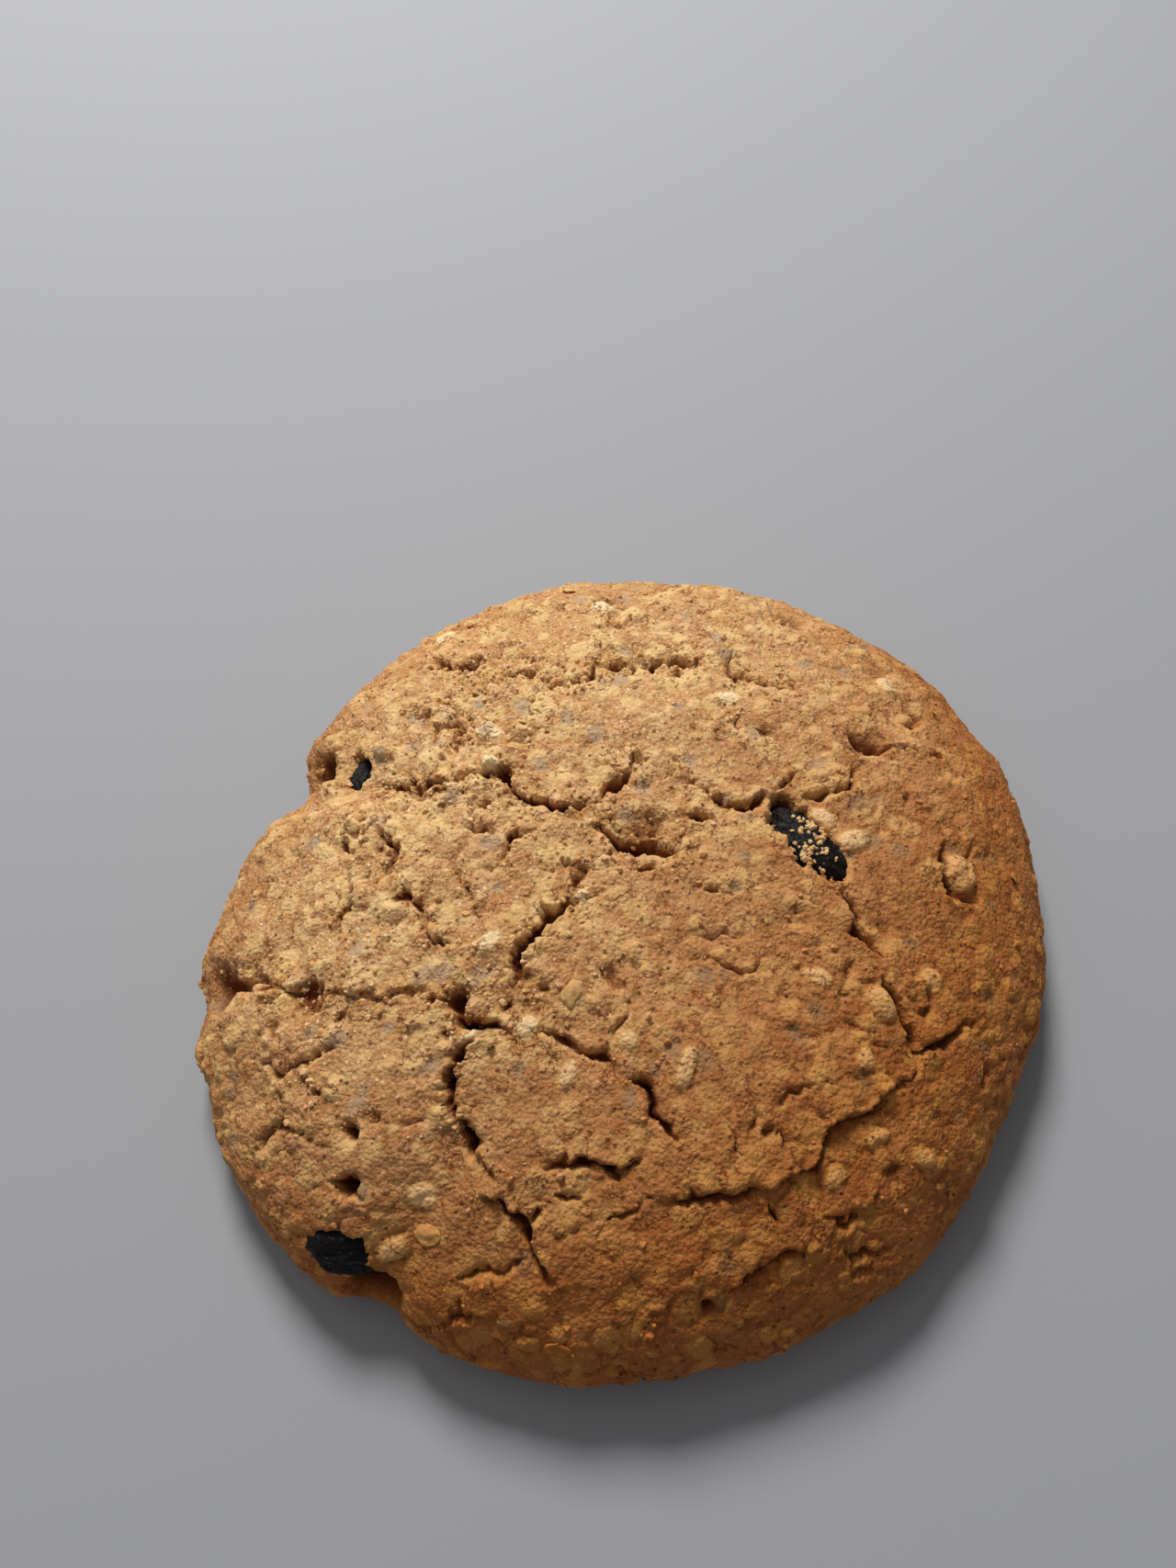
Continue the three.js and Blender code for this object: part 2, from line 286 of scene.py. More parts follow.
def noise(places, size, seed):
    """Smooth noise from about -1 to 1, whose bumps are about size apart."""
    scaled = places / size + 100
    corner = np.floor(scaled).astype(np.int64)
    inside = scaled - corner
    fade = inside**3 * (inside * (inside * 6 - 15) + 10)
    total = np.zeros(len(places))
    for step in itertools.product((0, 1), repeat=3):
        bits = scramble(corner + step, seed)
        away = inside - step
        slope = np.stack([(bits >> shift & 1023) / 511.5 - 1 for shift in (0, 10, 20)], axis=1)
        value = (slope * away).sum(axis=1)
        share = np.where(step, fade, 1 - fade).prod(axis=1)
        total += value * share
    return total * 1.6


def rough(places, size, seed, octaves=3):
    """Noise with finer noise on top, each layer half the size and half the strength."""
    layers = (noise(places, size / 2**i, seed + i) / 2**i for i in range(octaves))
    return sum(layers)


def cells(places, size, seed):
    """Distance to the nearest of scattered sites, to the next one, and a random number of the nearest."""
    scaled = places / size + 100
    corner = np.floor(scaled).astype(np.int64)
    first = np.full(len(places), 9.0)
    second = first.copy()
    owner = np.zeros(len(places))
    for step in itertools.product((-1, 0, 1), repeat=3):
        cell = corner + step
        bits = scramble(cell, seed)
        site = np.stack([(bits >> shift & 1023) / 1023 for shift in (0, 10, 20)], axis=1)
        away = np.linalg.norm(cell + 0.15 + 0.7 * site - scaled, axis=1)
        nearer = away < first
        second = np.where(nearer, first, np.minimum(second, away))
        first = np.where(nearer, away, first)
        owner = np.where(nearer, (bits >> 5 & 1023) / 1023, owner)
    return first * size, second * size, owner


# ---- The dome ----


def outline(angle):
    """Radius of the widest outline at an angle in radians."""
    radius = MEAN_RADIUS
    for waves, size, towards in LOBES:
        radius = radius + size * np.cos(waves * (angle - math.radians(towards)))
    for at, deep, spread in NOTCHES:
        away = (np.degrees(angle) - at + 180) % 360 - 180
        radius = radius - deep * np.exp(-((away / spread) ** 2))
    return radius


def dome_height(reach):
    """Height of the smooth dome where reach runs from 0 in the middle to 1 at the outline."""
    rise = (1 - np.minimum(reach, 1) ** DOME_POWER) ** (1 / SHOULDER_POWER)
    return BULGE_HEIGHT + (DOME_HEIGHT - BULGE_HEIGHT) * rise


def on_dome(x, y):
    """The point of the smooth dome above a point in plan."""
    reach = np.hypot(x, y) / outline(np.arctan2(y, x))
    return np.array([x, y, dome_height(reach)])


def dome_profile():
    """Reach and height along the dome from its top over the bulge to the edge of the base."""
    turn = np.linspace(0, math.pi / 2, 300)
    reach = np.sin(turn) ** 0.8
    over = np.stack([reach, dome_height(reach)], axis=1)
    turn = np.linspace(math.pi / 2, 0, 40)[1:]
    under = np.stack(
        [1 - TUCK_IN / MEAN_RADIUS * (1 - np.sin(turn)), BULGE_HEIGHT * (1 - np.cos(turn))], axis=1
    )
    return np.concatenate([over, under])


def ring_faces(inner, outer):
    """Triangles between two rings of vertex numbers that start at the same angle."""
    faces = []
    i = j = 0
    while i < len(inner) or j < len(outer):
        if j * len(inner) <= i * len(outer) and j < len(outer) or i == len(inner):
            faces.append((inner[i % len(inner)], outer[j], outer[(j + 1) % len(outer)]))
            j += 1
        else:
            faces.append((inner[i], outer[j % len(outer)], inner[(i + 1) % len(inner)]))
            i += 1
    return faces


def dome_mesh(rings, base_rings):
    """Places and triangles of the smooth dome, in even steps over its top, side and base."""
    profile = dome_profile()
    steps = np.linalg.norm(np.diff(profile * (MEAN_RADIUS, 1), axis=0), axis=1)
    along = np.concatenate([[0], np.cumsum(steps)])
    places = [np.array([[0, 0, DOME_HEIGHT]])]
    numbers = [[0]]
    count = 1
    stops = [(k / rings, 6 * k) for k in range(1, rings + 1)]
    edge = profile[-1, 0]
    spots = []
    for share, size in stops:
        gone = share * along[-1]
        spots.append((np.interp(gone, along, profile[:, 0]), np.interp(gone, along, profile[:, 1]), size))
    spots += [(edge * k / base_rings, 0.0, 6 * k) for k in range(base_rings - 1, 0, -1)]
    for reach, height, size in spots:
        angle = np.arange(size) * (2 * math.pi / size)
        radius = reach * outline(angle)
        ring = (radius * np.cos(angle), radius * np.sin(angle), np.full(size, height))
        places.append(np.stack(ring, axis=1))
        numbers.append(list(range(count, count + size)))
        count += size
    places.append(np.array([[0, 0, 0]]))
    numbers.append([count])
    faces = []
    for inner, outer in zip(numbers, numbers[1:]):
        if len(inner) == 1:
            faces += [(inner[0], outer[i], outer[(i + 1) % len(outer)]) for i in range(len(outer))]
        elif len(outer) == 1:
            faces += [(outer[0], inner[(i + 1) % len(inner)], inner[i]) for i in range(len(inner))]
        elif len(inner) < len(outer):
            faces += ring_faces(inner, outer)
        else:
            faces += [face[::-1] for face in ring_faces(outer, inner)]
    return np.concatenate(places), np.array(faces)


def normals(places, faces):
    """Unit normals at the vertices."""
    a, b, c = (places[faces[:, k]] for k in range(3))
    across = np.cross(b - a, c - a)
    total = np.zeros_like(places)
    for k in range(3):
        np.add.at(total, faces[:, k], across)
    return total / np.maximum(np.linalg.norm(total, axis=1, keepdims=True), 1e-12)


# ---- Relief ----


def near(places, points, margin):
    """Which places lie within margin of the box around the points."""
    low = np.min(points, axis=0) - margin
    high = np.max(points, axis=0) + margin
    return np.nonzero(np.all((places > low) & (places < high), axis=1))[0]


def course_distance(places, course):
    """Distance to a course, which side of it in plan, the share of the way along, and its nearest point."""
    lengths = np.linalg.norm(np.diff(course, axis=0), axis=1)
    gone = np.concatenate([[0], np.cumsum(lengths)])
    best = np.full(len(places), 1e9)
    side = np.zeros(len(places))
    share = np.zeros(len(places))
    foot = np.zeros_like(places)
    for start, end, length, before in zip(course, course[1:], lengths, gone):
        ahead = (end - start) / length
        offset = places - start
        t = np.clip(offset @ ahead, 0, length)
        away = offset - t[:, None] * ahead
        distance = np.linalg.norm(away, axis=1)
        nearer = distance < best
        turn = ahead[0] * away[:, 1] - ahead[1] * away[:, 0]
        best = np.where(nearer, distance, best)
        side = np.where(nearer, np.sign(turn), side)
        share = np.where(nearer, (before + t) / gone[-1], share)
        foot = np.where(nearer[:, None], start + t[:, None] * ahead, foot)
    return best, side, share, foot


def drifted(places):
    """The same places shifted a little at random, so that cracks wander and their edges are ragged."""
    drift = np.stack([rough(places, 2.6, 11 + 5 * k, 2) for k in range(3)], axis=1)
    bitten = np.stack([noise(places, 1.5, 121 + k) for k in range(3)], axis=1)
    ragged = np.stack([noise(places, 0.75, 111 + k) for k in range(3)], axis=1)
    torn = np.stack([noise(places, 0.4, 131 + k) for k in range(3)], axis=1)
    return places + 0.38 * drift + 0.32 * bitten + 0.26 * ragged + 0.12 * torn


def gather(places):
    """Places on the dome drawn towards the nearest crack, so that its walls get more vertices."""
    shifted = drifted(places)
    reach = 2.2
    nearest = np.full(len(places), reach)
    pull = np.zeros_like(places)
    for _, *course in CRACKS:
        points = np.array([on_dome(x, y) for x, y in course])
        chosen = near(shifted, points, reach)
        distance, foot = course_distance(shifted[chosen], points)[::3]
        nearer = distance < nearest[chosen]
        chosen = chosen[nearer]
        distance = distance[nearer, None]
        nearest[chosen] = distance[:, 0]
        pull[chosen] = (foot[nearer] - shifted[chosen]) * 0.5 * (1 - distance / reach)
    return places + pull


class Relief:
    """What the baked surface adds to the smooth dome, and where its colours change."""

    def __init__(self, places, depth_scale):
        self.places = places
        self.deeper = depth_scale
        count = len(places)
        self.height = np.zeros(count)
        # deep: how strongly each place is painted dark as painted shade, in cracks, pits, seams, crevices,
        # pinholes and raisin windows
        self.deep = np.zeros(count)
        self.crumb = np.zeros(count)
        self.oat = np.zeros(count)
        self.soaked = np.zeros(count)
        self.open = np.zeros(count)
        self.drifted = drifted(places)

    def crack(self, width, depth, step, course):
        """A crack that wanders along its course, tapers at its ends and has crumbled edges."""
        points = np.array([on_dome(x, y) for x, y in course])
        chosen = near(self.drifted, points, 6)
        distance, side, share, _ = course_distance(self.drifted[chosen], points)
        ends = np.minimum(1, 0.35 + 3.2 * share * (1 - share))
        opening = np.clip(1 + 0.7 * noise(self.places[chosen], 1.8, 77), 0.35, 1.8)
        depth = depth * np.clip(1 + 0.5 * noise(self.places[chosen], 2.4, 78), 0.5, 1.5)
        half = 0.36 * width * ends * opening
        cut = np.clip(1 - distance / (half + 0.05), 0, 1) ** 0.5
        lift = np.exp(-distance / 3.0) * smooth(share, -0.1, 0.25) * smooth(1 - share, -0.1, 0.25)
        edge = np.tanh(side * distance / 0.3)
        self.height[chosen] -= self.deeper * depth * ends * cut
        self.height[chosen] += 0.5 * step * edge * lift
        self.height[chosen] += 0.1 * np.exp(-(((distance - half - 0.35) / 0.4) ** 2)) * ends
        # the crack's inside is painted dark as painted shade
        self.deep[chosen] = np.maximum(self.deep[chosen], cut * ends * np.minimum(1, depth / 1.5))
        mouth = (1 - smooth(distance, half, half + 0.3)) * ends
        self.open[chosen] = np.maximum(self.open[chosen], mouth)
        loose = (0.35 + 0.5 * width) * np.exp(-((distance / (0.9 + 1.5 * width)) ** 2))
        self.crumb[chosen] = np.maximum(self.crumb[chosen], loose)

    def pit(self, x, y, half, depth):
        """A round hole in the crust, or a mound."""
        centre = on_dome(x, y)
        chosen = near(self.drifted, [centre], 3 * half + 1)
        distance = np.linalg.norm(self.drifted[chosen] - centre, axis=1) / half
        cut = np.exp(-(distance**3))
        self.height[chosen] -= self.deeper * depth * cut
        # the pit is painted dark as painted shade
        self.deep[chosen] = np.maximum(self.deep[chosen], cut * min(1, depth / 1.8))
        self.crumb[chosen] = np.maximum(self.crumb[chosen], 0.7 * np.exp(-((distance / 2) ** 2)))

    def pinhole(self, centre, half):
        """A small hole, only where the crumb is open."""
        chosen = near(self.places, [centre], 3 * half)
        distance = np.linalg.norm(self.places[chosen] - centre, axis=1) / half
        cut = np.exp(-(distance**3)) * smooth(self.crumb[chosen], 0.15, 0.6)
        self.height[chosen] -= self.deeper * 1.7 * half * cut
        # the pinhole is painted dark as painted shade
        self.deep[chosen] = np.maximum(self.deep[chosen], 0.9 * cut)

    def ellipse(self, centre, half_long, half_wide, turn, wander=0.0):
        """Chosen vertices round a point of the dome, and how far out each is: 1 on the ellipse."""
        chosen = near(self.places, [centre], 2.2 * half_long + 1)
        where = self.places[chosen] + wander * (self.drifted[chosen] - self.places[chosen])
        offset = where - centre
        along = np.array([math.cos(math.radians(turn)), math.sin(math.radians(turn)), 0])
        out = np.array([centre[0], centre[1], 12]) / np.linalg.norm([centre[0], centre[1], 12])
        along -= out * (along @ out)
        along /= np.linalg.norm(along)
        across = np.cross(out, along)
        return chosen, np.hypot(offset @ along / half_long, offset @ across / half_wide)

    def mouth(self, x, y, half_long, half_wide, turn, depth):
        """A window in the crust that shows the raisin below it."""
        chosen, reach = self.ellipse(on_dome(x, y), half_long, half_wide, turn, 1.0)
        cut = 1 - smooth(reach, 0.82, 1.1)
        self.height[chosen] -= depth * cut
        # the crust round the window is painted dark as painted shade
        self.deep[chosen] = np.maximum(self.deep[chosen], cut)
        self.crumb[chosen] = np.maximum(self.crumb[chosen], 0.8 * np.exp(-((reach - 1) ** 2) / 0.08))

    def flake(self, centre, half_long, half_wide, turn, proud, pale):
        """An oat flake under the skin, which swells it and pales it."""
        chosen, reach = self.ellipse(centre, half_long, half_wide, turn, 0.35)
        self.height[chosen] += proud * np.sqrt(np.clip(1 - reach**2, 0, 1))
        self.height[chosen] -= 0.12 * np.exp(-(((reach - 1.15) / 0.16) ** 2))
        self.oat[chosen] = np.maximum(self.oat[chosen], pale * (1 - smooth(reach, 0.8, 1.08)))

    def soak(self, centre, radius):
        """A glassy spot, slightly sunk."""
        chosen, reach = self.ellipse(centre, radius, radius, 0, 0.12)
        spot = 1 - smooth(reach, 0.85, 1.05)
        self.soaked[chosen] = np.maximum(self.soaked[chosen], spot)
        self.height[chosen] -= 0.06 * spot


def browning_and_shade(places):
    """How much darker and browner the dough is painted: most on the near right side, turned from the light,
    as painted shade, and more towards the low rim.
    """
    faced = smooth(places @ np.array(SHADED_SIDE), -22, 30)
    low = 1 - smooth(places[:, 2], 3, 16)
    return np.clip(faced + 0.65 * low, 0, 1)


def scattered_sites(rng, count):
    """Points spread evenly over the dome's top and side."""
    profile = dome_profile()[:330]
    steps = np.linalg.norm(np.diff(profile * (MEAN_RADIUS, 1), axis=0), axis=1)
    weight = np.cumsum(steps * profile[1:, 0])
    pick = np.interp(rng.random(count) * weight[-1], weight, np.arange(1, len(profile)))
    reach = np.interp(pick, np.arange(len(profile)), profile[:, 0])
    height = np.interp(pick, np.arange(len(profile)), profile[:, 1])
    angle = rng.random(count) * 2 * math.pi
    radius = reach * outline(angle)
    return np.stack([radius * np.cos(angle), radius * np.sin(angle), height], axis=1)


def bake_relief(places, depth_scale):
    """All of the dough's relief at the given places of the smooth dome."""
    relief = Relief(places, depth_scale)
    for (width, depth, step), *course in CRACKS:
        relief.crack(width, depth, step, course)
    for pit in PITS:
        relief.pit(*pit)
    rng = np.random.default_rng(41)

    # Fine side cracks, where wide cells meet, and only in patches clear of the named cracks.
    clear = 1 - smooth(relief.crumb, 0.2, 0.5)
    first, second, _ = cells(relief.drifted, 7.5, 3)
    patch = smooth(noise(places, 9, 5), 0.05, 0.5) * clear
    seam = (1 - smooth(second - first, 0.05, 0.5)) * patch
    relief.height -= 0.8 * depth_scale * seam
    # the seams are painted dark as painted shade
    relief.deep = np.maximum(relief.deep, 0.6 * seam)
    relief.crumb = np.maximum(relief.crumb, 0.6 * (1 - smooth(second - first, 0.3, 2.4)) * patch)
    # Plates broken off at slightly different levels.
    _, _, owner = cells(relief.drifted, 5.2, 13)
    relief.height += 0.34 * (owner - 0.5) * smooth(noise(places, 7, 15), -0.3, 0.4) * clear

    # Crumbly patches, and a smoother skin elsewhere.
    loose = smooth(rough(places, 8, 21, 2), 0.05, 0.85)
    relief.crumb = np.clip(np.maximum(relief.crumb, 0.85 * loose), 0, 1)
    relief.crumb *= (0.35 + 0.65 * smooth(places[:, 2], 5, 11)) * (1 - 0.8 * browning_and_shade(places))

    for x, y, half_long, half_wide, turn, proud in OATS:
        relief.flake(on_dome(x, y), half_long, half_wide, turn, proud, 1.3)
    for site in scattered_sites(rng, FLAKES):
        size = rng.uniform(0.45, 1.35)
        proud = rng.uniform(0.05, 0.36) * (1 - 0.6 * browning_and_shade(site[None])[0])
        pale = rng.uniform(0.5, 1) if rng.random() < 0.4 else rng.uniform(0, 0.3)
        relief.flake(site, size, size * rng.uniform(0.55, 0.85), rng.uniform(0, 180), proud, pale)
    for site in scattered_sites(rng, PINHOLES):
        relief.pinhole(site, rng.uniform(0.25, 0.5))
    for x, y, radius in SOAKED:
        relief.soak(on_dome(x, y), radius)
    for site in scattered_sites(rng, SOAKED_SPOTS):
        relief.soak(site, rng.uniform(0.45, 0.85))

    # Broad swells, then lumps 1.6 mm across, grains 1 mm across and a fine unevenness.
    swell = 0.42 * noise(places, 11, 31) + 0.3 * noise(places, 5.5, 33) + 0.3 * noise(places, 2.9, 35)
    swell *= 1 - 0.5 * browning_and_shade(places)
    first, second, owner = cells(relief.drifted, 1.6, 7)
    lump = np.clip(second - first, 0, 0.75) - 0.3
    bare = 0.32 - 0.22 * browning_and_shade(places)
    lumps = (0.5 * lump + 0.3 * (owner - 0.5)) * (bare + (1 - bare) * relief.crumb)
    tone = 0.7 * (owner - 0.45) * (0.15 + 0.85 * relief.crumb)
    # crevices between the lumps sink, and are painted dark as painted shade
    crevice = (1 - smooth(second - first, 0.0, 0.32)) * smooth(relief.crumb, 0.25, 0.8)
    relief.height -= 0.3 * crevice
    relief.deep = np.maximum(relief.deep, 0.6 * crevice)
    first, second, owner = cells(relief.drifted, 0.95, 9)
    grain = 0.42 * (np.clip(second - first, 0, 0.5) - 0.2) + 0.22 * (owner - 0.5)
    grain *= 0.12 + 0.88 * relief.crumb
    skin = 0.07 * noise(places, 1.1, 51) + 0.05 * noise(places, 0.6, 53)
    relief.height += swell + lumps + grain + skin
    # How raised each place is, with a random tone per lump; the material paints its tips lighter and its
    # hollows darker as painted light and shade.
    relief.relief = np.clip(0.5 + 0.9 * (lumps + grain) + 1.2 * skin + tone, 0, 1)
    for mouth in MOUTHS:
        relief.mouth(*mouth)
    return relief


# ---- Blender helpers ----


def mesh_object(name, places, faces, material, attributes=None):
    """An object at the origin, its places given in millimetres and held in metres."""
    mesh = bpy.data.meshes.new(name)
    mesh.from_pydata((np.asarray(places) * MM).tolist(), [], np.asarray(faces).tolist())
    mesh.shade_smooth()
    for key, values in (attributes or {}).items():
        layer = mesh.attributes.new(key, "FLOAT", "POINT")
        layer.data.foreach_set("value", np.asarray(values, dtype=np.float32))
    mesh.materials.append(material)
    obj = bpy.data.objects.new(name, mesh)
    bpy.context.collection.objects.link(obj)
    return obj


def add_node(tree, kind, inputs=None, **settings):
    """A new node with its settings; inputs maps sockets to values or to the sockets that feed them."""
    node = tree.nodes.new(kind)
    for key, value in settings.items():
        setattr(node, key, value)
    for key, value in (inputs or {}).items():
        if isinstance(value, bpy.types.NodeSocket):
            tree.links.new(value, node.inputs[key])
        else:
            node.inputs[key].default_value = value
    return node


def new_material(name):
    material = bpy.data.materials.new(name)
    material.use_nodes = True
    material.node_tree.nodes.clear()
    return material


def finish_material(material, shader):
    add_node(material.node_tree, "ShaderNodeOutputMaterial", {"Surface": shader.outputs["BSDF"]})
    return material


def together(tree, strength, shares):
    """The socket of a strength times all its shares.

    A share is a socket, or a socket with the two values between which it rises from 0 to 1.
    """
    amount = strength
    for share in shares:
        if isinstance(share, tuple):
            value, start, end = share
            inputs = {"Value": value, "From Min": start, "From Max": end}
            share = add_node(tree, "ShaderNodeMapRange", inputs, interpolation_type="SMOOTHSTEP").outputs[0]
        amount = add_node(tree, "ShaderNodeMath", {0: share, 1: amount}, operation="MULTIPLY").outputs[0]
    return amount


def lay_over(tree, base, colour, strength, *shares, blend="MIX"):
    """The colour socket once a layer lies over base, as strongly as its strength and shares say together."""
    inputs = {0: together(tree, strength, shares), 6: base, 7: colour}
    return add_node(tree, "ShaderNodeMix", inputs, data_type="RGBA", blend_type=blend).outputs[2]


def opaque(colour):
    return (*colour, 1.0)


# ---- Materials ----


def baked_dough_material(colours):
    """Baked oat dough: a dry sugar-browned skin over golden crumb, matt and finely grained."""
    material = new_material("baked oat dough")
    tree = material.node_tree
    coords = add_node(tree, "ShaderNodeTexCoord").outputs["Object"]
    paint = {name: opaque(getattr(colours, name)) for name in CookieColours.__annotations__}
    seen = {}
    for name in ("crumb", "relief", "oat", "toast", "soaked", "deep", "underside"):
        seen[name] = add_node(tree, "ShaderNodeAttribute", attribute_name=name).outputs["Fac"]
    # Noise: size in millimetres, detail, roughness.
    noises = {}
    for name, size_mm, detail, rough_share in (
        ("skin patches", 6.0, 3.0, 0.5),
        ("crumb patches", 1.4, 2.0, 0.5),
        ("flour", 0.28, 2.0, 0.7),
        ("gaps", 0.4, 2.0, 0.7),
        ("cracked patches", 3.0, 2.0, 0.5),
        ("holed patches", 4.0, 2.0, 0.5),
        ("grain", 0.24, 2.0, 0.65),
        ("unevenness", 0.8, 1.0, 0.5),
    ):
        inputs = {"Vector": coords, "Scale": 1 / (size_mm * MM), "Detail": detail, "Roughness": rough_share}
        noises[name] = add_node(tree, "ShaderNodeTexNoise", inputs).outputs["Fac"]
    # Shaken places give the cells uneven edges: size of the noise, detail, and the shift in millimetres.
    shaken = {"still": coords}
    for name, size_mm, detail, shift_mm in (("shaken", 0.4, 2.0, 0.5), ("wandering", 1.1, 3.0, 2.6)):
        inputs = {"Vector": coords, "Scale": 1 / (size_mm * MM), "Detail": detail}
        stray = add_node(tree, "ShaderNodeTexNoise", inputs).outputs["Color"]
        shift = add_node(tree, "ShaderNodeVectorMath", {0: stray, "Scale": shift_mm * MM}, operation="SCALE")
        moved = add_node(tree, "ShaderNodeVectorMath", {0: coords, 1: shift.outputs[0]}, operation="ADD")
        shaken[name] = moved.outputs[0]
    # Cells: at which places, size in millimetres, what is measured.
    sites = {}
    for name, places, size_mm, feature in (
        ("large granules", "shaken", 0.8, "F1"),
        ("small granules", "shaken", 0.4, "F1"),
        ("large bits", "shaken", 2.6, "F1"),
        ("small bits", "shaken", 1.5, "F1"),
        ("sugar", "still", 0.95, "F1"),
        ("bran", "still", 1.4, "F1"),
        ("pinholes", "still", 1.3, "F1"),
        ("packed grains", "still", 0.4, "F1"),
        ("hairlines", "wandering", 3.5, "DISTANCE_TO_EDGE"),
    ):
        inputs = {"Vector": shaken[places], "Scale": 1 / (size_mm * MM)}
        sites[name] = add_node(tree, "ShaderNodeTexVoronoi", inputs, feature=feature).outputs

    skin = lay_over(tree, paint["skin"], paint["toasted"], 1.0, (noises["skin patches"], 0.35, 0.65))
    crumb = lay_over(tree, paint["crumb"], paint["golden"], 1.0, (noises["crumb patches"], 0.35, 0.65))
    # Where the dough is painted darker and browner, the grain specks, painted glints and painted hollow
    # shade fade.
    shown = add_node(
        tree, "ShaderNodeMapRange", {"Value": seen["toast"], "To Min": 1.0, "To Max": 0.3}
    ).outputs[0]
    granule, dust = sites["large granules"]["Color"], sites["small granules"]["Color"]
    large, small = sites["large bits"], sites["small bits"]
    # Each layer lies over the ones before it: colour, strength, then where it shows.
    layers = (
        (crumb, 1.0, (seen["crumb"], 0.2, 0.8)),
        # granules with tones of their own, from pale oat dust to brown crust
        (paint["pale"], 0.18, (granule, 0.52, 0.8)),
        (paint["toasted"], 0.18, (granule, 0.45, 0.2)),
        (paint["pale"], 0.25, (dust, 0.52, 0.8)),
        (paint["toasted"], 0.25, (dust, 0.45, 0.2)),
        # painted light and shade: raised grains painted paler and the hollows between them painted darker,
        # over a random tone per lump
        (paint["hollow"], 0.7, (seen["relief"], 0.45, 0.15), shown),
        (paint["pale"], 0.65, (seen["relief"], 0.55, 0.9)),
        # flour and sugar grains of 0.2 to 0.3 mm, and painted shade in the gaps between them
        (paint["pale"], 0.7, (noises["flour"], 0.5, 0.64), shown),
        (paint["hollow"], 0.62, (noises["gaps"], 0.46, 0.34), shown),
        # single sugar crystals of 0.2 to 0.3 mm, one to every 2 or 3 square millimetres, painted pale so
        # that they also stand in for glints as painted highlights
        (paint["sugar"], 0.85, (sites["sugar"]["Distance"], 0.17, 0.1), shown),
        # golden oat bits 1 to 2 mm across, pressed into the skin
        (paint["oat"], 0.5, (large["Distance"], 0.44, 0.38), (large["Color"], 0.56, 0.62)),
        (paint["oat"], 0.5, (small["Distance"], 0.44, 0.38), (small["Color"], 0.56, 0.62)),
        (paint["oat"], 0.8, seen["oat"]),
        (paint["sugar"], 0.7, (seen["oat"], 1.0, 1.3)),
        (paint["soaked"], 0.8, seen["soaked"]),
        # bran specks 0.3 mm across, about one to every 8 square millimetres
        (paint["bran"], 0.75, (sites["bran"]["Distance"], 0.13, 0.09)),
    )
    base = skin
    for colour, strength, *shares in layers:
        base = lay_over(tree, base, colour, strength, *shares)
    # Painted shade: the near right side, turned from the light, is tinted darker and browner, and so is the
    # low rim.
    base = lay_over(tree, base, paint["toast_tint"], 0.95, seen["toast"], blend="MULTIPLY")
    # Hairline cracks about 0.2 mm wide, wandering round patches 3.5 mm across: a dip in the bump, painted in
    # the crack colour as painted shade.
    hairline = ((sites["hairlines"]["Distance"], 0.035, 0.01), (noises["cracked patches"], 0.5, 0.56))
    # Painted pinholes between the grains, up to 0.5 mm across: reddish painted shade, with no hole in the
    # mesh.
    pinhole = ((sites["pinholes"]["Distance"], 0.2, 0.12), (noises["holed patches"], 0.38, 0.54))
    # Painted shade: cracks and holes painted dark, darkest at the bottom of the deepest, then the hairlines
    # and pinholes; the underside takes its own browned colour.
    for colour, strength, *shares in (
        (paint["deep"], 1.0, (seen["deep"], 0.12, 0.7)),
        (paint["deepest"], 0.8, (seen["deep"], 0.6, 1.0)),
        (paint["underside"], 0.7, seen["underside"]),
        (paint["deep"], 0.7, *hairline),
        (paint["deep"], 0.8, *pinhole),
    ):
        base = lay_over(tree, base, colour, strength, *shares)

    # The skin is packed grains of flour, sugar and oat dust, 0.4 mm across, and it isn't quite even.
    packed = sites["packed grains"]["Distance"]
    grains = add_node(tree, "ShaderNodeMath", {0: noises["grain"], 1: packed}, operation="SUBTRACT")
    dip = together(tree, -0.6, hairline)
    uneven = add_node(tree, "ShaderNodeMath", {0: noises["unevenness"], 1: dip}, operation="ADD")
    normal = None
    for height, strength, depth_mm in ((grains.outputs[0], 1.0, 0.16), (uneven.outputs[0], 0.5, 0.2)):
        inputs = {"Height": height, "Strength": strength, "Distance": depth_mm * MM}
        if normal:
            inputs["Normal"] = normal
        normal = add_node(tree, "ShaderNodeBump", inputs).outputs["Normal"]
    shader = add_node(
        tree,
        "ShaderNodeBsdfPrincipled",
        {
            "Base Color": base,
            "Roughness": 0.82,
            "IOR": 1.45,
            "Specular IOR Level": 0.3,
            "Subsurface Weight": 0.35,
            "Subsurface Radius": (1.0, 0.4, 0.15),
            "Subsurface Scale": 1.2 * MM,
            "Normal": normal,
        },
    )
    return finish_material(material, shader)


